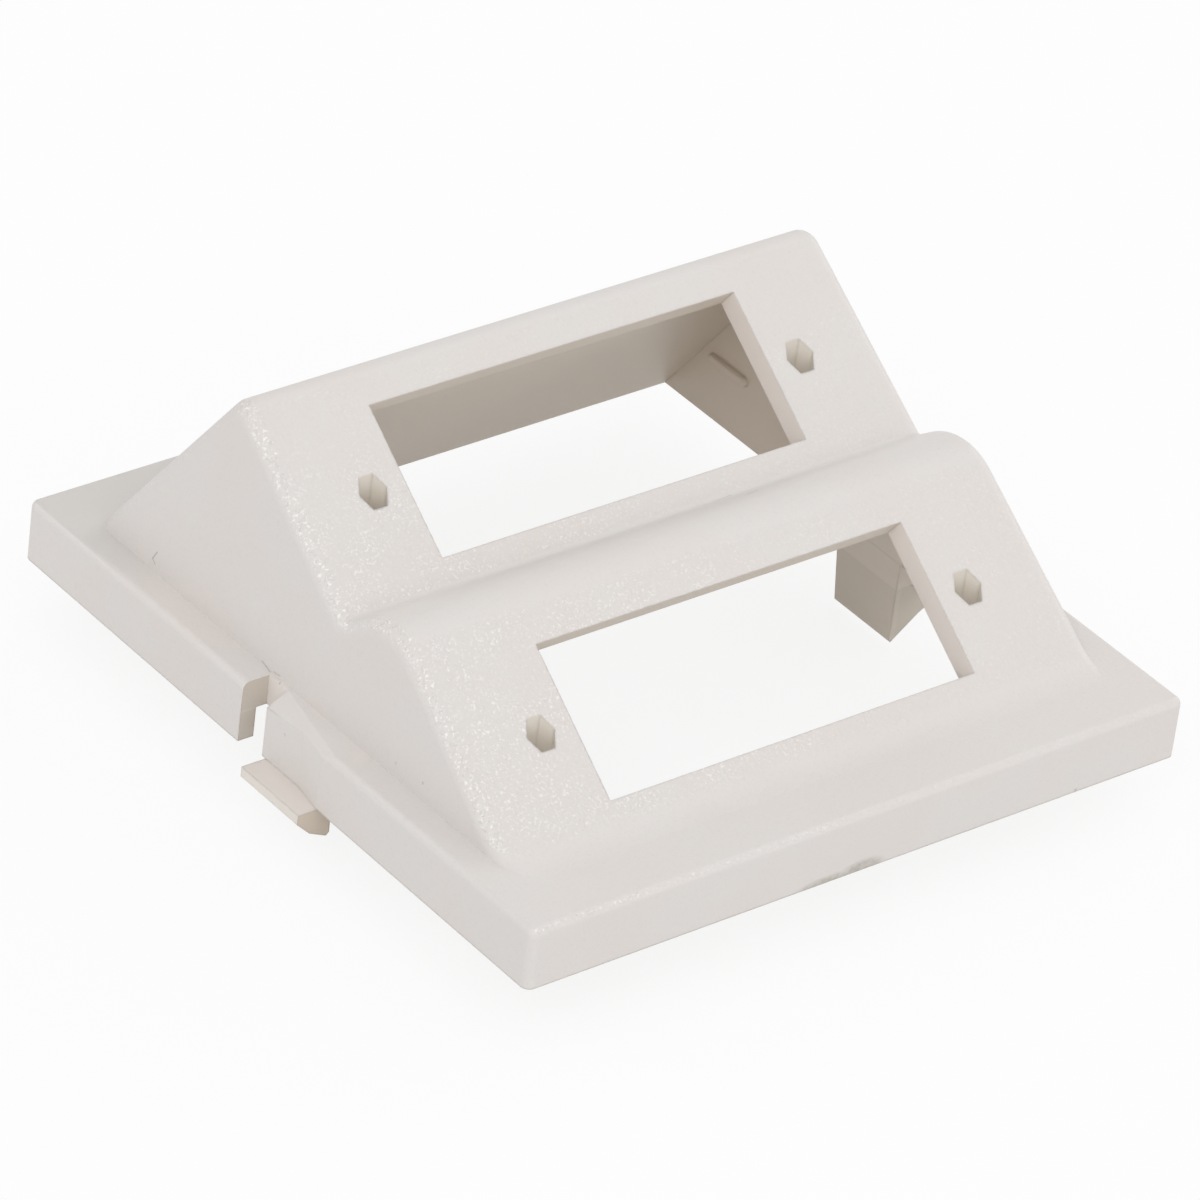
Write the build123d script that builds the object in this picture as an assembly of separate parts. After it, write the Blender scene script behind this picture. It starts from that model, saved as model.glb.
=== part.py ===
"""Snap-in faceplate insert with two tilted connector windows, moulded in one piece.

X runs along the windows, Y from the front edge to the back edge, Z out of the wall.
The origin is the middle of the footprint, with Z = 0 in the plane of the bottom rim.
While it is built, Y is measured from the front edge. Sizes are in millimetres, and
slopes and drafts in degrees.
"""

import os
from math import cos, radians, sin, tan

from build123d import *

# Base: a plate with a rim that hangs down all round
base_width = 50.8
base_depth = 52.5
base_height = 4.27
base_plate = 2.13
rim_wall = 1.17
base_corner = 0.6
rim_inner_corner = 0.5
base_edge_round = 0.5

# Outline of the raised body, seen from the side
front_foot = 5.8
front_slope = 36.1
front_slope_length = 17.05
step_drop = 3.2
step_back_slope = 37.0
rear_slope = 35.6
rear_slope_length = 15.45
back_slope = 53.1
front_ridge_round = 4.3
rear_ridge_round = 1.5
valley_round = 0.5
side_edge_round = 1.1
front_blend = 5.2

# Walls of the raised body, which leaves a flange at each side
side_flange = 2.24
side_draft = 3.0
face_wall = 1.72
side_wall = 1.95
back_wall = 2.2

# Connector windows, with a screw pilot hole in a boss at each side
window_length = 28.42
window_height = 10.5
front_window_margin = 1.92
rear_window_margin = 1.92
screw_spacing = 33.3
pilot_flats = 1.79
pilot_sides = 6
boss_radius = 1.9
boss_drop = 0.6

# Slot through the plate and rim beside the left hook
slot_front = 27.35
slot_length = 1.97
slot_body_gap = 0.29

# Left hook: a rigid lug on the rim, with a shallow relief in the rim above it
hook_front = 21.1
hook_length = 5.9
hook_reach = 1.35
hook_nose_drop = 0.71
hook_drop = 2.25
hook_belly_drop = 1.66
hook_belly_out = 0.34
hook_tip_cut = 0.22
hook_edge_round = 0.1
hook_relief = 0.42
hook_relief_run = 2.3
crown_fall = 0.86
crown_fall_start = 0.08

# Right latch: a springy arm below the side wall
latch_front = 22.9
latch_length = 6.35
latch_inset = 3.86
latch_arm = 1.15
latch_reach = 1.35
latch_nose_drop = 0.71
latch_drop = 4.0
latch_belly_drop = 2.4
latch_belly_run = 2.2
latch_tip_cut = 0.14
latch_rear_lean = 7.0
latch_gap = 0.4

# Small bead on the right inner wall of the rear bay
bead_length = 3.9
bead_width = 0.7
bead_height = 0.35
bead_round = 0.15
bead_front = 38.9
bead_level = 6.7

# Joined pieces sink into each other, and cutting blocks run past what they cut
sink = 0.1
overlap = 0.5
run_past = 20.0
corner_reach = 0.1
edge_reach = 2.5

SIDE_VIEW = Plane.YZ
FROM_FRONT = (Align.CENTER, Align.MIN, Align.MIN)
OUT_RIGHT = (Align.MIN, Align.MIN, Align.MIN)
OUT_LEFT = (Align.MAX, Align.MIN, Align.MIN)
BELOW = (Align.CENTER, Align.CENTER, Align.MAX)
ABOVE = (Align.CENTER, Align.CENTER, Align.MIN)


def along(start, slope, length):
    """The side-view point reached from start, going up the given slope."""
    return (start[0] + length * cos(radians(slope)), start[1] + length * sin(radians(slope)))


def shifted(start, end, inward):
    """The same line moved inward, to the right of its direction."""
    run = end[0] - start[0]
    rise = end[1] - start[1]
    length = (run * run + rise * rise) ** 0.5
    move_y = rise / length * inward
    move_z = -run / length * inward
    return ((start[0] + move_y, start[1] + move_z), (end[0] + move_y, end[1] + move_z))


def crossing(first, second):
    """Where two lines, each given by two points, cross."""
    (a, b), (c, d) = first, second
    run = (b[0] - a[0], b[1] - a[1])
    other = (d[0] - c[0], d[1] - c[1])
    scale = run[0] * other[1] - run[1] * other[0]
    share = ((c[0] - a[0]) * other[1] - (c[1] - a[1]) * other[0]) / scale
    return (a[0] + run[0] * share, a[1] + run[1] * share)


def level_at(start, end, height):
    """The point of a line at a given height."""
    return crossing((start, end), ((0, height), (run_past, height)))


def slab(points, half_width):
    """A block with the given side-view outline, centred on X."""
    outline = make_face(Polyline(*points, close=True))
    return extrude(SIDE_VIEW * outline, amount=half_width, both=True)


def near(solid, target, reach):
    """Edges whose middle lies within reach of a point."""
    return [e for e in solid.edges() if (e.position_at(0.5) - Vector(*target)).length < reach]


# Corners of the side view
foot = (front_foot, base_height)
front_ridge = along(foot, front_slope, front_slope_length)
valley = (front_ridge[0] + step_drop / tan(radians(step_back_slope)), front_ridge[1] - step_drop)
rear_ridge = along(valley, rear_slope, rear_slope_length)
back_foot = along(rear_ridge, -back_slope, (rear_ridge[1] - base_height) / sin(radians(back_slope)))

# Levels and half widths that several features share
half = base_width / 2
plate_under = base_height - base_plate
body_top = rear_ridge[1] + overlap
body_half_width = half - side_flange
slot_inner = body_half_width + slot_body_gap
slot_back = slot_front + slot_length


def side_x(height):
    """Half width of the outer body at a height."""
    return body_half_width - (height - base_height) * tan(radians(side_draft))


def drafted_block(bottom, inset):
    """A long block whose two sides lean inward by the draft, inset from the outer body."""
    low = side_x(bottom) - inset
    high = side_x(body_top) - inset
    section = Polyline((-low, bottom), (low, bottom), (high, body_top), (-high, body_top), close=True)
    return extrude(Plane.XZ * make_face(section), amount=base_depth * 2, both=True)


def outer_body():
    """The raised body: the side view with its ridges and valley rounded, then drafted sides."""
    points = [
        level_at(foot, front_ridge, plate_under),
        front_ridge,
        valley,
        rear_ridge,
        level_at(rear_ridge, back_foot, plate_under),
    ]
    outline = make_face(Polyline(*points, close=True))
    bends = (
        (front_ridge, front_ridge_round),
        (valley, valley_round),
        (rear_ridge, rear_ridge_round),
    )
    for corner, radius in bends:
        bend = [v for v in outline.vertices() if (Vector(v) - Vector(*corner)).length < corner_reach]
        outline = fillet(bend, radius)
    return extrude(SIDE_VIEW * outline, amount=half, both=True) & drafted_block(plate_under, 0)


def base_block():
    """The base with rounded corners and upper edge, and the relief beside the left hook."""
    base = Box(base_width, base_depth, base_height, align=FROM_FRONT)
    base = fillet(base.edges().filter_by(Axis.Z), base_corner)
    base = fillet(base.faces().sort_by(Axis.Z)[-1].outer_wire().edges(), base_edge_round)

    # The rim's relief runs out gently to the front
    relief_x = -half + hook_relief
    relief_start = hook_front + sink
    relief = Polyline(
        (-half - hook_reach, slot_back),
        (relief_x, slot_back),
        (relief_x, relief_start + hook_relief_run),
        (-half - hook_reach, relief_start - hook_relief_run * hook_reach / hook_relief),
        close=True,
    )
    base = base - extrude(make_face(relief), amount=base_height)

    # The crown of the plate falls away towards the slot, outside the left wall
    fall = Plane(
        origin=(relief_x, relief_start, base_height - crown_fall_start),
        x_dir=(1, 0, 0),
        z_dir=(
            -crown_fall / (side_flange - hook_relief),
            crown_fall / (slot_back - relief_start),
            1,
        ),
    )
    above_fall = fall * Box(run_past, 2 * run_past, run_past, align=ABOVE)
    before_slot = Pos(0, slot_front + slot_length / 2, 0) * Box(
        2 * base_width, base_depth, base_depth, align=(Align.CENTER, Align.MAX, Align.CENTER)
    )
    return base - (above_fall & before_slot)


def rounded_shell():
    """The body on its base, with a soft blend in front and rounded edges along each side."""
    shell = base_block() + outer_body()
    shell = fillet(near(shell, (0, *foot), overlap), front_blend)
    middle = along(foot, front_slope, front_slope_length / 2)
    side_edges = []
    for side in (-1, 1):
        side_edges += near(shell, (side * side_x(middle[1]), *middle), edge_reach)
    return fillet(side_edges, side_edge_round)


def body_hollow():
    """The space under the body: the same side view moved inward by the walls."""
    bottom = plate_under - overlap
    walls = (
        shifted(foot, front_ridge, face_wall),
        shifted(front_ridge, valley, face_wall),
        shifted(valley, rear_ridge, face_wall),
        shifted(rear_ridge, back_foot, back_wall),
    )
    points = [level_at(*walls[0], bottom)]
    points += [crossing(one, following) for one, following in zip(walls, walls[1:])]
    points.append(level_at(*walls[3], bottom))
    return slab(points, half) & drafted_block(bottom, side_wall)


def rim_hollow():
    """The space under the plate, inside the rim."""
    space = Box(base_width - 2 * rim_wall, base_depth - 2 * rim_wall, plate_under, align=FROM_FRONT)
    return Pos(0, rim_wall, 0) * fillet(space.edges().filter_by(Axis.Z), rim_inner_corner)


def with_window(shell, start, slope, margin):
    """Cuts a window through a slope, with a boss and an upright pilot hole at each side."""
    centre = along(start, slope, margin + window_height / 2)
    face = Plane(
        origin=(0, *centre),
        x_dir=(1, 0, 0),
        z_dir=(0, -sin(radians(slope)), cos(radians(slope))),
    )
    under_skin = face * Pos(0, 0, -face_wall / 2) * Box(
        base_width, base_depth, run_past, align=BELOW
    )
    boss_bottom = centre[1] - face_wall / cos(radians(slope)) - boss_drop
    flats = RegularPolygon(pilot_flats / 2, pilot_sides, major_radius=False)
    sides = [side * screw_spacing / 2 for side in (-1, 1)]
    for x in sides:
        boss = Cylinder(boss_radius, 4 * boss_radius, align=ABOVE)
        shell = shell + (Pos(x, centre[0], boss_bottom) * boss & under_skin)
    shell = shell - face * Box(window_length, window_height, 4 * face_wall)
    for x in sides:
        shell = shell - Pos(x, *centre) * extrude(flats, amount=4 * boss_radius, both=True)
    return shell


def left_hook():
    """A barb under the rim, flush with the rim's inner face."""
    inner = -half + rim_wall
    nose = -half - hook_reach
    outline = Polyline(
        (inner, overlap),
        (inner, -hook_drop + hook_tip_cut),
        (inner - hook_tip_cut, -hook_drop),
        (-half - hook_belly_out, -hook_belly_drop),
        (nose, -hook_nose_drop),
        (nose, 0),
        (-half + hook_relief + sink, 0),
        (-half + hook_relief + sink, overlap),
        close=True,
    )
    barb = extrude(Plane.XZ * make_face(outline), amount=-hook_length)
    tips = near(barb, (inner - hook_tip_cut, hook_length / 2, -hook_drop), corner_reach)
    tips += near(barb, (nose, hook_length / 2, -hook_nose_drop), corner_reach)
    return Pos(0, hook_front, 0) * fillet(tips, hook_edge_round)


def right_latch():
    """Arm, ramp and ledge, cut to the latch's leaning rear edge."""
    top = plate_under + overlap
    inner = half - latch_inset
    outline = Polyline(
        (inner, top),
        (inner, -latch_drop + latch_tip_cut),
        (inner + latch_tip_cut, -latch_drop),
        (inner + latch_belly_run, -latch_belly_drop),
        (half + latch_reach, -latch_nose_drop),
        (half + latch_reach, 0),
        (inner + latch_arm, 0),
        (inner + latch_arm, top),
        close=True,
    )
    latch = extrude(Plane.XZ * make_face(outline), amount=-latch_length)
    lean = tan(radians(latch_rear_lean)) * (latch_drop + top)
    side_outline = [(0, top), (0, -latch_drop), (latch_length - lean, -latch_drop), (latch_length, top)]
    return Pos(0, latch_front, 0) * (latch & slab(side_outline, base_width))


def latch_window():
    """The opening in the plate and rim above the latch, which lets its ledge be moulded."""
    length = latch_length + 2 * latch_gap
    block = Box(run_past, length, base_height + 2 * overlap, align=OUT_RIGHT)
    return Pos(slot_inner, latch_front - latch_gap, -overlap) * block


def hook_slot():
    """The slot through the plate and rim beside the left hook."""
    block = Box(run_past, slot_length, base_height + 2 * overlap, align=OUT_LEFT)
    return Pos(-slot_inner, slot_front, -overlap) * block


def wall_bead():
    """A small raised bead, its foot sunk into the right inner wall."""
    wall = Plane(
        origin=(side_x(bead_level) - side_wall, bead_front + bead_length / 2, bead_level),
        x_dir=(0, 1, 0),
        z_dir=(-cos(radians(side_draft)), 0, -sin(radians(side_draft))),
    )
    outline = SlotOverall(bead_length, bead_width)
    bead = extrude(outline, amount=bead_height)
    bead = fillet(bead.edges().group_by(Axis.Z)[-1], bead_round)
    return wall * (bead + extrude(outline, amount=sink, both=True))


insert = rounded_shell() - body_hollow() - rim_hollow()
insert = with_window(insert, foot, front_slope, front_window_margin)
insert = with_window(insert, valley, rear_slope, rear_window_margin)
insert = insert - hook_slot() + left_hook()
insert = insert - latch_window() + right_latch()
insert = insert + wall_bead()

# Footprint centred on the origin
insert = Pos(0, -base_depth / 2, 0) * insert

os.makedirs("parts", exist_ok=True)
export_step(insert, "parts/faceplate_insert.step")
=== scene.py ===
"""Looks for the snap-in faceplate insert: grained light plastic under soft studio light.

The insert keeps its moulded form, and the material gives it the spark-eroded grain, the
smoother ridges and rim, and the small marks of handling, with some light, shade and
glints painted into its colour.
millimetres in its own frame; the camera and the floor are in metres.
"""

import math
from types import SimpleNamespace

import bpy
from mathutils import Matrix, Vector

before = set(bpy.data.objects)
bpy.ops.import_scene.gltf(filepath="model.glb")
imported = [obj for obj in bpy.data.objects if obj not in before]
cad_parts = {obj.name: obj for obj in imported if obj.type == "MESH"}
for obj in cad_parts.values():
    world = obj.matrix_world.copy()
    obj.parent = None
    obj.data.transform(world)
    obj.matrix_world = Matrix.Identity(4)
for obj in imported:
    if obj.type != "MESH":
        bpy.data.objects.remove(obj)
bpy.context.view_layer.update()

# Places on the insert, in millimetres from the middle of its footprint
MM_PER_METRE = 1000.0
LOWEST_TIP = -4.0
FLANGE_TOP = 4.27
FRONT_FACE = -26.25
BODY_SIDE = 23.2
SLOT_MIDDLE = 2.09
SLOT_HALF = 0.99
SLOT_FRONT = SLOT_MIDDLE - SLOT_HALF
SLOT_LINE = 2.13
WINDOW_HALF = 14.4
BAY_HALF = 22.0
BAY_TOP = 10.2
LATCH_INSIDE = 21.2
LATCH_OUTSIDE = 25.1
LATCH_HALF = 3.75
LATCH_TOP = 5.4
REAR_WALL = 16.0
WALL_NORMAL = (-0.998, 0.0, 0.06)

# Soft borders of the finishes, in millimetres; a pair is where a finish starts and is full
SOFT = 0.1
SHARP = 0.05
HOOK_HEIGHT = (0.05, -0.02)
SIDE_WALL_REACH = (15.0, 18.0)
END_WALL_REACH = (19.0, 22.0)
BAY_FRONT = (-6.0, -5.0)
CUT_HEIGHT = (4.4, 4.8)
RELIEF_HEIGHT = (0.5, 1.2)
RELIEF_DEPTH = (-9.0, -2.0)
RIDGE_DEPTH = (6.0, 3.0)
REAR_FLANGE_DEPTH = (13.0, 21.0)
FOOT_REACH = (0.7, 0.5)
SLOT_LINE_REACH = (0.12, 0.04)
COARSE_LEFTWARD = (14.0, -14.0)
COARSE_BELOW_CROWN = (17.5, 15.5)
LOWER_EDGE_HEIGHT = (0.14, 0.02)

# How far a face turns to a direction, as a cosine; a pair is where a finish starts and is full
FACES_DOWN = (0.03, 0.2)
UPRIGHT = (0.2, 0.1)
SQUARE_TO_X = (0.8, 0.95)
SQUARE_TO_Y = (0.5, 0.8)
WALL_LEFTWARD = (0.6, 0.9)
NOT_SLOT_CUT = (0.8, 0.6)
SLOPE_FORWARD = (0.3, 0.5)
SLOPE_UPWARD = (0.45, 0.65)
EDGE_LEFTWARD = (0.1, 0.3)
EDGE_NOT_WALL = (0.97, 0.8)
EDGE_UPWARD = (0.15, 0.35)
EDGE_NOT_REAR = (0.6, 0.3)
RIDGE_REARWARD = (0.05, 0.4)
FLANGE_UPWARD = (0.7, 0.9)
LATCH_NOT_TOP = (0.8, 0.5)
HOOK_END_FORWARD = (0.4, 0.8)
RIM_NOT_UNDERSIDE = (0.9, 0.5)

# Cuts through the noise patterns: where each starts to show and where it is full
CLOUDS = (0.4, 0.62)
PITS = (0.5, 0.25)
PATCHES = (0.38, 0.6)
PEAKS = (0.5, 0.72)
SPECKS = (0.53, 0.74)
STREAKS = (0.35, 0.65)
FLOOR_SPECKLE = (0.3, 0.7)

# Camera at the photograph's viewing angle
CAMERA_PLACE = Vector((-0.285907, -0.322043, 0.285089))
CAMERA_RIGHT = Vector((0.78878, -0.60507, 0.10818))
CAMERA_UP = Vector((0.26286, 0.49115, 0.83047))
CAMERA_BACK = Vector((-0.55563, -0.62662, 0.54646))
CAMERA_LENS = 248.385
CAMERA_SENSOR = 36.0
CAMERA_NEAR = 0.01
CAMERA_FAR = 10.0

# Plastic colours, as linear values; several paint light or shade, as noted beside them
FACE_COLOUR = (0.715, 0.682, 0.658, 1.0)
WARM_COLOUR = (0.722, 0.672, 0.642, 1.0)
# Darker tone for the grain's pits, and painted shade that makes the slopes a little darker
PIT_AND_SLOPE_SHADE_COLOUR = (0.60, 0.565, 0.535, 1.0)
# Painted glints: lighter specks in the colour stand in for the lamp's reflection on the grain
PAINTED_GLINT_COLOUR = (0.93, 0.915, 0.9, 1.0)
# Painted shade: inner and downward faces tinted warmer and darker, for the bounced light and shade
# in the hollow
INNER_PAINTED_SHADE_COLOUR = (0.70, 0.62, 0.53, 1.0)
# Painted shade: the slot's cut faces, darker and warmer in the narrow gap
SLOT_PAINTED_SHADE_COLOUR = (0.56, 0.49, 0.40, 1.0)
# Painted light: the latch, lighter than the light reaching it would make it
LATCH_PAINTED_LIGHT_COLOUR = (0.86, 0.79, 0.71, 1.0)
# Painted light: the hooks below the rim are made lighter than the body's plastic
HOOK_PAINTED_LIGHT_COLOUR = (0.88, 0.82, 0.77, 1.0)
# Painted shade: the forward faces of the hooks, darker and warmer
HOOK_END_PAINTED_SHADE_COLOUR = (0.71, 0.62, 0.53, 1.0)
# Painted shade: the pilot holes' walls, tinted warm
RECESS_PAINTED_SHADE_COLOUR = (0.78, 0.73, 0.655, 1.0)
# Painted light: the windows' end cuts, lighter and warmer than the body
WINDOW_END_PAINTED_LIGHT_COLOUR = (0.88, 0.81, 0.76, 1.0)
# Painted light: the slot's end face on the wall, lighter against the shade in the slot
GAP_PAINTED_LIGHT_COLOUR = (0.82, 0.775, 0.735, 1.0)
# Painted light: lifts the shade in the valley behind the front ridge
RIDGE_BACK_PAINTED_LIGHT_COLOUR = (0.80, 0.77, 0.745, 1.0)
# Painted shadow: the flange behind the body, darkened as if in the body's shadow
REAR_FLANGE_PAINTED_SHADOW_COLOUR = (0.63, 0.605, 0.58, 1.0)
MARK_COLOUR = (0.16, 0.13, 0.12, 1.0)
GRIME_COLOUR = (0.19, 0.175, 0.095, 1.0)

# Studio colours and levels
FLOOR_COLOUR = (0.9, 0.9, 0.9, 1.0)
FLOOR_SPECK_COLOUR = (0.88, 0.88, 0.88, 1.0)
WHITE = (1.0, 1.0, 1.0, 1.0)
FLOOR_WHITENESS = 0.86
FLOOR_HALF = 1.6
FLOOR_DROP = 0.0002
WORLD_LEVEL = 0.62

# Grain and gloss: edge rounding and bump height in metres, the rest as shares
EDGE_RADIUS = 0.0002
GRAIN_DEPTH = 0.00004
PEAK_HEIGHT = 0.8
SAND_HEIGHT = 0.5
COARSE_SAND_HEIGHT = 0.1
LEAST_COARSE = 0.3
BETWEEN_PATCHES = 0.25
PATCH_GAIN = 0.45
PLASTIC_IOR = 1.5
ROUGHNESS = 0.4
SAND_ROUGHNESS = 0.12
GLINT_GLOSS = 0.14
RELIEF_CALM = 0.3
HOOKS_LESS_INNER_SHADE = 0.6

# Small marks of handling: start, end and half width in millimetres, and strength
WALL_MARKS = (
    ((-23.15, 4.3, 4.44), (-23.16, 3.86, 4.34), 0.05, 0.35),
    ((-23.15, 3.04, 4.4), (-23.15, 2.42, 4.47), 0.05, 0.3),
    ((-23.09, 15.72, 5.69), (-23.12, 16.08, 5.04), 0.05, 0.4),
    ((-23.12, 16.08, 5.04), (-23.13, 15.78, 4.8), 0.05, 0.35),
    ((-24.98, -0.91, 2.75), (-24.98, -0.87, 2.79), 0.1, 0.18),
    ((-23.1, -12.02, 5.43), (-23.1, -12.0, 5.4), 0.1, 0.25),
    ((-23.11, -9.34, 5.24), (-23.11, -9.3, 5.2), 0.1, 0.16),
)
FACE_MARKS = (
    ((-23.16, 3.86, 4.34), (-23.25, 3.3, 4.27), 0.05, 0.35),
    ((5.34, -2.74, 11.35), (7.01, -2.56, 11.26), 0.06, 0.25),
    ((6.38, -4.76, 12.79), (7.32, -4.59, 12.70), 0.06, 0.25),
    ((17.13, -26.25, 0.16), (17.2, -26.25, 0.16), 0.1, 0.3),
)
# Across the left wall a mark ignores small steps, elsewhere it keeps its true place
WALL_SQUASH = Vector((0.15, 1.0, 1.0))
NO_SQUASH = Vector((1.0, 1.0, 1.0))
MARK_FADES_OUT = 1.4
MARK_IS_FULL = 0.5

# Smudges on the front rim: middle and height, reach sideways and upward, in millimetres
SMUDGES = (
    (-2.6, 0.0, 2.6, 0.55),
    (0.1, 0.1, 1.9, 0.75),
)
SMUDGE_FADE = (1.2, 0.0)
RIM_FACE_DEPTH = (FRONT_FACE + 0.5, FRONT_FACE + 0.1)
GRIME_LEAST = 0.3
GRIME_STREAKS = 0.2
LOWER_EDGE_GRIME = 0.15

# Lamps: name, direction they stand in, level and apparent width in degrees
SOFTBOXES = (
    ("left_high_softbox", (-0.6, -0.35, 0.7), 0.15, 25.0),
    ("left_low_softbox", (-0.75, -0.6, 0.15), 0.115, 50.0),
    ("front_softbox", (-0.1, -0.75, 0.65), 0.105, 30.0),
    ("right_softbox", (0.9, 0.1, 0.4), 0.17, 40.0),
    ("back_softbox", (-0.54, 0.63, 0.55), 0.05, 20.0),
    ("top_softbox", (0.0, 0.0, 1.0), 0.045, 30.0),
    ("glint_spot", (0.5, -0.42, 0.75), 0.025, 8.0),
    ("edge_spot", (0.55, -0.78, 0.3), 0.04, 10.0),
)

# Numbers of a Mix node's first input and of its output, which share names with others
MIX_DIRECTION = (4, 1)
MIX_COLOUR = (6, 2)


class Sock:
    """A value socket that takes part in plain arithmetic."""

    def __init__(self, net, socket):
        self.net = net
        self.socket = socket

    def _math(self, operation, *values):
        return self.net.node("Math", {"operation": operation}, dict(enumerate(values)))

    def __add__(self, other):
        return self._math("ADD", self, other)

    __radd__ = __add__

    def __sub__(self, other):
        return self._math("SUBTRACT", self, other)

    def __rsub__(self, other):
        return self._math("SUBTRACT", other, self)

    def __mul__(self, other):
        return self._math("MULTIPLY", self, other)

    __rmul__ = __mul__

    def __truediv__(self, other):
        return self._math("DIVIDE", self, other)

    def __pow__(self, other):
        return self._math("POWER", self, other)

    def __neg__(self):
        return self * -1.0

    def __abs__(self):
        return self._math("ABSOLUTE", self)

    def at_least(self, other):
        return self._math("MAXIMUM", self, other)

    def at_most(self, other):
        return self._math("MINIMUM", self, other)


class Net:
    """The node tree of one material, built through a single method."""

    def __init__(self, tree):
        self.tree = tree
        tree.nodes.clear()

    def node(self, kind, settings=None, values=None, out=0):
        """Adds a shader node, sets it, fills or links its inputs and returns one output."""
        item = self.tree.nodes.new("ShaderNode" + kind)
        for name, value in (settings or {}).items():
            setattr(item, name, value)
        for name, value in (values or {}).items():
            if isinstance(value, Sock):
                self.tree.links.new(value.socket, item.inputs[name])
            else:
                item.inputs[name].default_value = value
        return Sock(self, item.outputs[out]) if len(item.outputs) else item

    def spread(self, value, low, high):
        """0 at low, 1 at high, smooth between; low may be the larger of the two."""
        return self.node(
            "MapRange",
            {"interpolation_type": "SMOOTHSTEP"},
            {"Value": value, "From Min": low, "From Max": high, "To Min": 0.0, "To Max": 1.0},
        )

    def all_of(self, *limits):
        """1 where every value is past its limit; a limit is a value, its low and its high."""
        mask = self.spread(*limits[0])
        for limit in limits[1:]:
            mask = mask * self.spread(*limit)
        return mask

    def _mix(self, data_type, sockets, factor, first, second):
        first_input, out = sockets
        values = {0: factor, first_input: first, first_input + 1: second}
        return self.node("Mix", {"data_type": data_type}, values, out)

    def blend(self, factor, first, second):
        """A colour between two colours."""
        return self._mix("RGBA", MIX_COLOUR, factor, first, second)

    def lean(self, factor, first, second):
        """A direction between two directions."""
        return self._mix("VECTOR", MIX_DIRECTION, factor, first, second)

    def parts(self, vector):
        """The three parts of a vector."""
        first = self.node("SeparateXYZ", {}, {0: vector})
        return [Sock(self, output) for output in first.socket.node.outputs]

    def noise(self, place, scale, detail, roughness, distortion=0.0):
        """Plain noise between 0 and 1."""
        values = {"Vector": place, "Scale": scale, "Detail": detail, "Roughness": roughness}
        return self.node("TexNoise", {}, values | {"Distortion": distortion})


def surface(net):
    """Where a point of the insert lies, in millimetres, and which way its face looks."""
    metres = net.node("TexCoord", out="Object")
    place = net.node("VectorMath", {"operation": "SCALE"}, {0: metres, "Scale": MM_PER_METRE})
    x, y, z = net.parts(place)
    nx, ny, nz = net.parts(net.node("TexCoord", out="Normal"))
    return SimpleNamespace(place=place, x=x, y=y, z=z, nx=nx, ny=ny, nz=nz)


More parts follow.
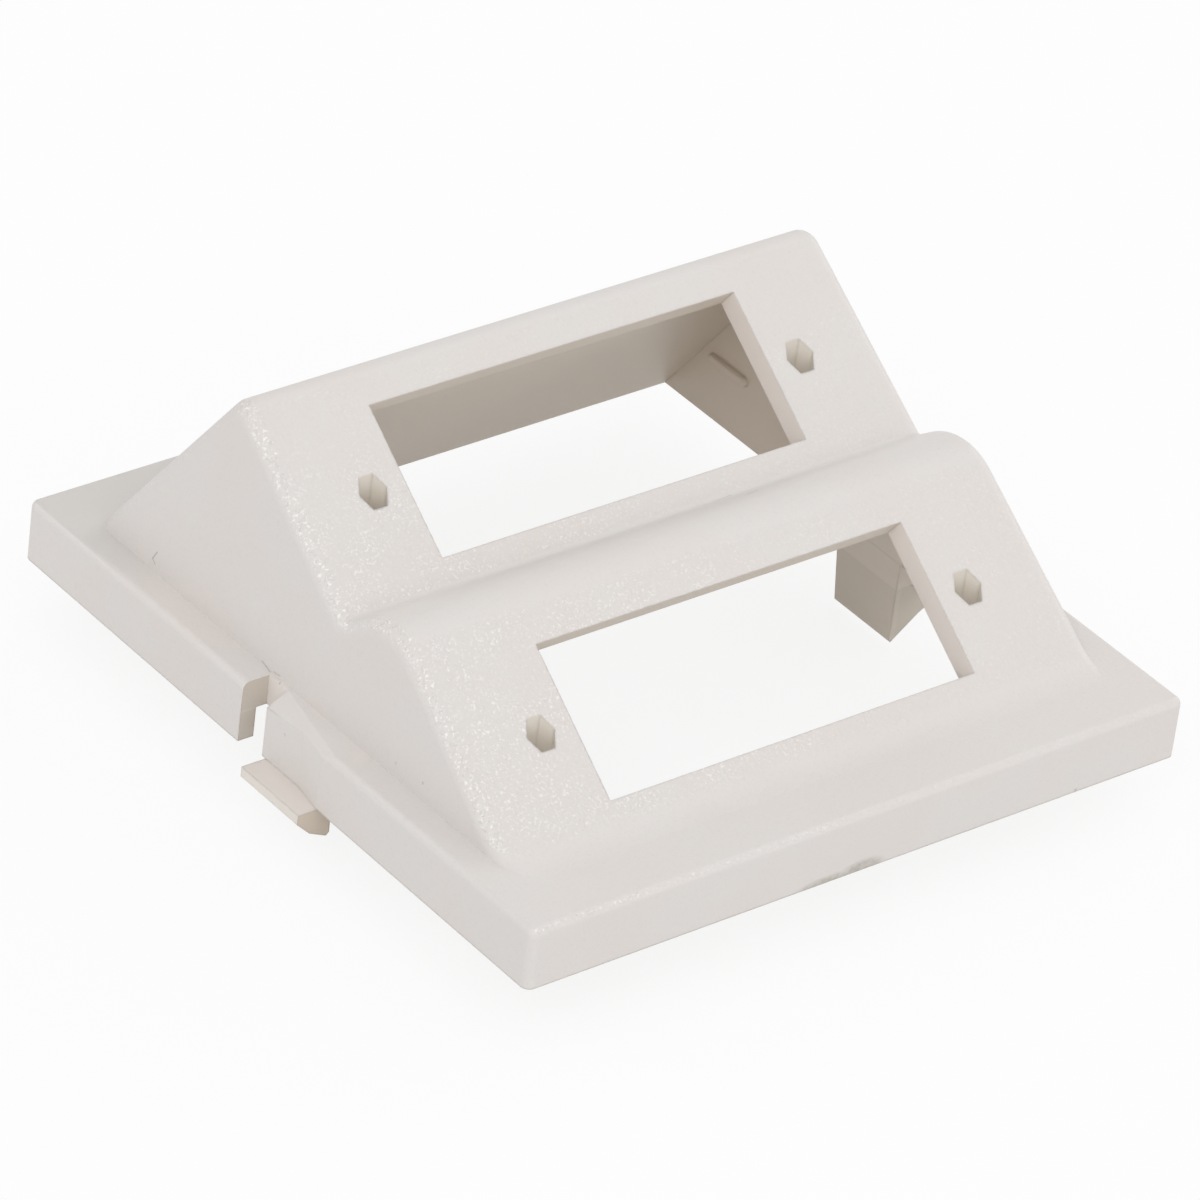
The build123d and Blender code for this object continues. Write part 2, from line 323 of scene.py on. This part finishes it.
def finish_masks(net, on):
    """Where each finish lies: inner faces, window recesses, hooks, slot, slopes and edges."""
    at = SimpleNamespace()

    # Inside of the shell, tinted with warm painted shade: faces that look down or inwards, and the
    # bay behind the windows
    at.hooks = net.spread(on.z, *HOOK_HEIGHT)
    looks_down = net.spread(-on.nz, *FACES_DOWN)
    looks_in_at_sides = net.spread(-(on.x * on.nx), *SIDE_WALL_REACH)
    looks_in_at_ends = net.spread(-(on.y * on.ny), *END_WALL_REACH)
    bay = net.all_of(
        (abs(on.x), BAY_HALF + SOFT, BAY_HALF - SOFT),
        (on.z, BAY_TOP + 2.0 * SOFT, BAY_TOP - 2.0 * SOFT),
        (on.y, *BAY_FRONT),
        (on.y, REAR_WALL + 0.5, REAR_WALL),
    )
    inner = looks_down.at_least(looks_in_at_sides).at_least(looks_in_at_ends).at_least(bay)
    at.inner = inner * (1.0 - at.hooks * HOOKS_LESS_INNER_SHADE)

    # Upright cut faces of the windows, painted lighter, and of the pilot holes beside them,
    # painted with warm shade
    cut = net.all_of(
        (abs(on.nz), *UPRIGHT),
        (on.z, *CUT_HEIGHT),
        (on.y, REAR_WALL, REAR_WALL - 2.0),
    )
    pilot_hole = cut * net.spread(abs(on.x), WINDOW_HALF, WINDOW_HALF + 2.0 * SOFT)
    pilot_hole = pilot_hole * net.spread(abs(on.x), BAY_HALF + SOFT, BAY_HALF - SOFT)
    at.recess = pilot_hole * (1.0 - at.inner)
    at.window_end = cut * net.spread(abs(on.x), WINDOW_HALF, WINDOW_HALF - SOFT)
    at.window_end = at.window_end * net.spread(abs(on.nx), *SQUARE_TO_X)

    # The slot's cut faces in painted shade, with a painted highlight line on them for a small
    # step, the slot's rims, and the facets beside it
    from_slot = abs(on.y - SLOT_MIDDLE)
    at.slot = net.all_of(
        (from_slot, SLOT_HALF + SHARP, SLOT_HALF - SHARP),
        (abs(on.x), BODY_SIDE, BODY_SIDE + SOFT),
        (abs(on.ny), *SQUARE_TO_Y),
    )
    at.slot_line = at.slot * net.spread(abs(on.z - SLOT_LINE), *SLOT_LINE_REACH)
    at.outer = 1.0 - at.inner.at_least(at.slot).at_least(at.recess)
    # Painted light: the slot's end face on the wall is made lighter against the slot's shade
    at.gap = at.outer * net.all_of(
        (from_slot, SLOT_HALF + SOFT, SLOT_HALF),
        (-on.nx, *WALL_LEFTWARD),
        (-on.x, BODY_SIDE + SOFT, BODY_SIDE + 2.0 * SOFT),
    )
    at.relief = net.all_of(
        (-on.x, BODY_SIDE - SOFT, BODY_SIDE + SOFT),
        (on.z, *RELIEF_HEIGHT),
        (on.y, *RELIEF_DEPTH),
        (on.y, SLOT_FRONT - 0.01, SLOT_FRONT - SHARP),
        (on.ny, *NOT_SLOT_CUT),
    )

    # Slopes, their left edges, the ridge whose back is painted lighter against the valley's shade,
    # the wall's foot, the rear flange with its painted shadow and the latch
    at.slope = net.all_of((-on.ny, *SLOPE_FORWARD), (on.nz, *SLOPE_UPWARD))
    at.edge = net.all_of(
        (-on.nx, *EDGE_LEFTWARD),
        (-on.nx, *EDGE_NOT_WALL),
        (on.nz, *EDGE_UPWARD),
        (on.z, FLANGE_TOP + 0.3, FLANGE_TOP + 0.9),
        (on.ny, *EDGE_NOT_REAR),
    )
    # Painted light: the back of the ridge is lightened against the shade of the valley
    at.ridge = net.all_of((on.ny, *RIDGE_REARWARD), (on.y, *RIDGE_DEPTH))
    at.foot = net.spread(abs(on.z - FLANGE_TOP), *FOOT_REACH)
    # Painted shadow: the flange behind the body is darkened as by the body's shadow
    at.rear_flange = net.all_of((on.y, *REAR_FLANGE_DEPTH), (on.nz, *FLANGE_UPWARD)) * at.foot
    # Painted light: the latch's faces are made lighter than the light reaching them
    at.latch = net.all_of(
        (on.x, LATCH_INSIDE - SOFT, LATCH_INSIDE + SOFT),
        (on.x, LATCH_OUTSIDE + SOFT, LATCH_OUTSIDE - SOFT),
        (abs(on.y), LATCH_HALF + 0.15, LATCH_HALF - 0.15),
        (on.z, LATCH_TOP + 2.0 * SOFT, LATCH_TOP - 2.0 * SOFT),
        (on.nz, *LATCH_NOT_TOP),
    )
    return at


def eroded_grain(net, on, at):
    """Spark-eroded grain: sandy ground with small bumps, coarse on slopes and edges, and specks
    where glints of light are painted in.
    """
    sand = net.noise(on.place, scale=4.0, detail=2.0, roughness=0.6)
    worms = net.noise(on.place, scale=3.2, detail=1.0, roughness=0.5, distortion=0.4)
    specks = net.noise(on.place, scale=5.4, detail=1.0, roughness=0.5, distortion=0.3)
    patches = net.spread(net.noise(on.place, scale=0.33, detail=2.0, roughness=0.5), *PATCHES)
    most = 1.0 - LEAST_COARSE
    to_the_left = LEAST_COARSE + net.spread(on.x, *COARSE_LEFTWARD) * most
    below_the_crown = LEAST_COARSE + net.spread(on.z, *COARSE_BELOW_CROWN) * most
    patchy = BETWEEN_PATCHES + patches * PATCH_GAIN
    coarse = (at.slope * (to_the_left * below_the_crown) * patchy).at_least(at.edge)
    peaks = net.spread(worms, *PEAKS) * coarse * PEAK_HEIGHT
    height = (peaks + sand * (SAND_HEIGHT + coarse * COARSE_SAND_HEIGHT)) * at.outer
    # Painted highlight: the glint specks follow the coarse grain, so they fade to the right and
    # towards the crown
    glint = net.spread(specks, *SPECKS) * coarse * at.outer
    return SimpleNamespace(sand=sand, height=height, glint=glint)


def face_normal(net, at, height):
    """The grain's bumps on edges that are rounded a little, and calm facets beside the slot."""
    rounded = net.node("Bevel", {"samples": 2}, {"Radius": EDGE_RADIUS})
    plain = net.node("NewGeometry", out="Normal")
    eased = net.lean(at.foot, rounded, plain)
    eased = net.lean(at.relief * RELIEF_CALM, eased, WALL_NORMAL)
    values = {"Strength": 1.0, "Distance": GRAIN_DEPTH, "Height": height, "Normal": eased}
    return net.node("Bump", {}, values)


def rim_grime(net, on, at):
    """Streaky smudges low on the front rim, and a faint dark line along the lower edge."""
    streaks = net.noise(on.place, scale=2.4, detail=3.0, roughness=0.6)
    grime = 0.0
    for middle, height, reach, rise in SMUDGES:
        from_middle = ((on.x - middle) / reach) ** 2.0 + ((on.z - height) / rise) ** 2.0
        grime = net.spread(from_middle, *SMUDGE_FADE).at_least(grime)
    grime = grime * net.spread(on.y, *RIM_FACE_DEPTH)
    grime = grime * (GRIME_LEAST + net.spread(streaks, *STREAKS) * GRIME_STREAKS)
    lower_edge = net.all_of((on.z, *LOWER_EDGE_HEIGHT), (-on.nz, *RIM_NOT_UNDERSIDE)) * at.outer
    return grime.at_least(lower_edge * LOWER_EDGE_GRIME)


def near_line(net, place, start, end, half_width):
    """1 on a short line of the given half width, 0 away from it."""
    span = end - start
    away = net.node("VectorMath", {"operation": "SUBTRACT"}, {0: place, 1: start})
    reach = net.node("VectorMath", {"operation": "DOT_PRODUCT"}, {0: away, 1: span}, "Value")
    share = (reach / span.length_squared).at_least(0.0).at_most(1.0)
    on_line = net.node("VectorMath", {"operation": "SCALE"}, {0: span, "Scale": share})
    gap = net.node("VectorMath", {"operation": "DISTANCE"}, {0: away, 1: on_line}, "Value")
    return net.spread(gap, half_width * MARK_FADES_OUT, half_width * MARK_IS_FULL)


def add_marks(net, colour, place, marks, squash):
    """Hairlines and specks over a colour."""
    flat_place = net.node("VectorMath", {"operation": "MULTIPLY"}, {0: place, 1: squash})
    for start, end, half_width, strength in marks:
        line = near_line(net, flat_place, Vector(start) * squash, Vector(end) * squash, half_width)
        colour = net.blend(line * strength, colour, MARK_COLOUR)
    return colour


def plastic():
    """Warm light-grey plastic: grained outside and smoother inside, with painted warm shade on the
    inner faces, painted light and shade in places, painted glints, and small marks.
    """
    material = bpy.data.materials.new("insert_plastic_look")
    material.use_nodes = True
    net = Net(material.node_tree)
    on = surface(net)
    at = finish_masks(net, on)
    grain = eroded_grain(net, on, at)
    clouds = net.noise(on.place, scale=0.13, detail=3.0, roughness=0.55)

    # Each layer covers those before it by its share
    layers = (
        (net.spread(clouds, *CLOUDS) * 0.7, WARM_COLOUR),
        (net.spread(grain.sand, *PITS) * at.outer * 0.2, PIT_AND_SLOPE_SHADE_COLOUR),
        # Painted shade: the slopes made a little darker, where the lamps fall brightest
        (at.slope * 0.15, PIT_AND_SLOPE_SHADE_COLOUR),
        # Painted light: the ridge's back lightened against the valley's shade
        (at.ridge * 0.4, RIDGE_BACK_PAINTED_LIGHT_COLOUR),
        # Painted highlight: grain specks lightened as glints
        (grain.glint * 0.75, PAINTED_GLINT_COLOUR),
        # Painted shadow on the rear flange
        (at.rear_flange, REAR_FLANGE_PAINTED_SHADOW_COLOUR),
        # Painted light on the hooks below the rim
        (at.hooks, HOOK_PAINTED_LIGHT_COLOUR),
        # Painted shade on the hooks' forward faces
        (at.hooks * net.spread(-on.ny, *HOOK_END_FORWARD), HOOK_END_PAINTED_SHADE_COLOUR),
        # Painted shade on the inner faces
        (at.inner, INNER_PAINTED_SHADE_COLOUR),
        # Painted shade in the pilot holes
        (at.recess, RECESS_PAINTED_SHADE_COLOUR),
        # Painted light on the windows' end cuts
        (at.window_end, WINDOW_END_PAINTED_LIGHT_COLOUR),
        # Painted light on the latch
        (at.latch, LATCH_PAINTED_LIGHT_COLOUR),
        # Painted light on the slot's end face
        (at.gap, GAP_PAINTED_LIGHT_COLOUR),
        # Painted shade in the slot
        (at.slot, SLOT_PAINTED_SHADE_COLOUR),
        # Painted highlight: a thin line of the face colour across the slot's shade
        (at.slot_line * 0.6, FACE_COLOUR),
        (rim_grime(net, on, at), GRIME_COLOUR),
    )
    colour = FACE_COLOUR
    for share, tint in layers:
        colour = net.blend(share, colour, tint)
    colour = add_marks(net, colour, on.place, WALL_MARKS, WALL_SQUASH)
    colour = add_marks(net, colour, on.place, FACE_MARKS, NO_SQUASH)

    values = {
        "Base Color": colour,
        "Roughness": ROUGHNESS + grain.sand * SAND_ROUGHNESS - grain.glint * GLINT_GLOSS,
        "Normal": face_normal(net, at, grain.height),
        "IOR": PLASTIC_IOR,
    }
    net.node("OutputMaterial", {}, {"Surface": net.node("BsdfPrincipled", {}, values)})
    return material


def seen_rays(net):
    """1 for camera, mirror and clear rays, which see the white studio itself."""
    rays = net.node("LightPath")
    kinds = ("Is Camera Ray", "Is Glossy Ray", "Is Transmission Ray")
    camera, glossy, clear = [Sock(net, rays.socket.node.outputs[kind]) for kind in kinds]
    return camera.at_least(glossy).at_least(clear)


def floor_finish():
    """Plain pale floor, near white to the camera, with the insert's soft shadow on it."""
    material = bpy.data.materials.new("pale_floor")
    material.use_nodes = True
    net = Net(material.node_tree)
    metres = net.node("TexCoord", out="Object")
    fibres = net.noise(metres, scale=900.0, detail=3.0, roughness=0.6)
    speckle = net.spread(fibres, *FLOOR_SPECKLE)
    paper = net.blend(speckle * 0.3, FLOOR_COLOUR, FLOOR_SPECK_COLOUR)
    matt = net.node("BsdfDiffuse", {}, {"Color": paper})
    white = net.node("Emission", {}, {"Color": WHITE, "Strength": 1.0})
    mixed = net.node("MixShader", {}, {0: seen_rays(net) * FLOOR_WHITENESS, 1: matt, 2: white})
    net.node("OutputMaterial", {}, {"Surface": mixed})
    return material


def studio_world():
    """Soft light from all round, white to the camera."""
    world = bpy.data.worlds.new("studio")
    bpy.context.scene.world = world
    world.use_nodes = True
    net = Net(world.node_tree)
    soft = net.node("Background", {}, {"Color": WHITE, "Strength": WORLD_LEVEL})
    white = net.node("Background", {}, {"Color": WHITE, "Strength": 1.0})
    mixed = net.node("MixShader", {}, {0: seen_rays(net), 1: soft, 2: white})
    net.node("OutputWorld", {}, {"Surface": mixed})


def softbox(name, toward, level, width):
    """A broad far lamp in the given direction; level 1 lights a facing white surface to white."""
    light = bpy.data.lights.new(name, "SUN")
    light.energy = level * math.pi
    light.angle = math.radians(width)
    holder = bpy.data.objects.new(name, light)
    holder.rotation_euler = (-Vector(toward)).to_track_quat("-Z", "Y").to_euler()
    bpy.context.scene.collection.objects.link(holder)


def photo_camera():
    """The camera, at the photograph's place and lens."""
    data = bpy.data.cameras.new("photo_camera")
    data.sensor_width = CAMERA_SENSOR
    data.sensor_fit = "AUTO"
    data.lens = CAMERA_LENS
    data.clip_start = CAMERA_NEAR
    data.clip_end = CAMERA_FAR
    holder = bpy.data.objects.new("photo_camera", data)
    turn = Matrix((CAMERA_RIGHT, CAMERA_UP, CAMERA_BACK)).transposed().to_4x4()
    holder.matrix_world = Matrix.Translation(CAMERA_PLACE) @ turn
    bpy.context.scene.collection.objects.link(holder)
    bpy.context.scene.camera = holder


def pale_floor():
    """A wide plain floor just under the lowest hook."""
    level = LOWEST_TIP / MM_PER_METRE - FLOOR_DROP
    mesh = bpy.data.meshes.new("studio_floor")
    signs = ((-1, -1), (1, -1), (1, 1), (-1, 1))
    corners = [(x * FLOOR_HALF, y * FLOOR_HALF, level) for x, y in signs]
    mesh.from_pydata(corners, [], [(0, 1, 2, 3)])
    mesh.materials.append(floor_finish())
    floor = bpy.data.objects.new("studio_floor", mesh)
    bpy.context.scene.collection.objects.link(floor)


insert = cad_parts["faceplate_insert"]
insert.data.materials.clear()
insert.data.materials.append(plastic())

pale_floor()
studio_world()
for name, toward, level, width in SOFTBOXES:
    softbox(name, toward, level, width)
photo_camera()

bpy.context.scene.view_settings.view_transform = "Standard"
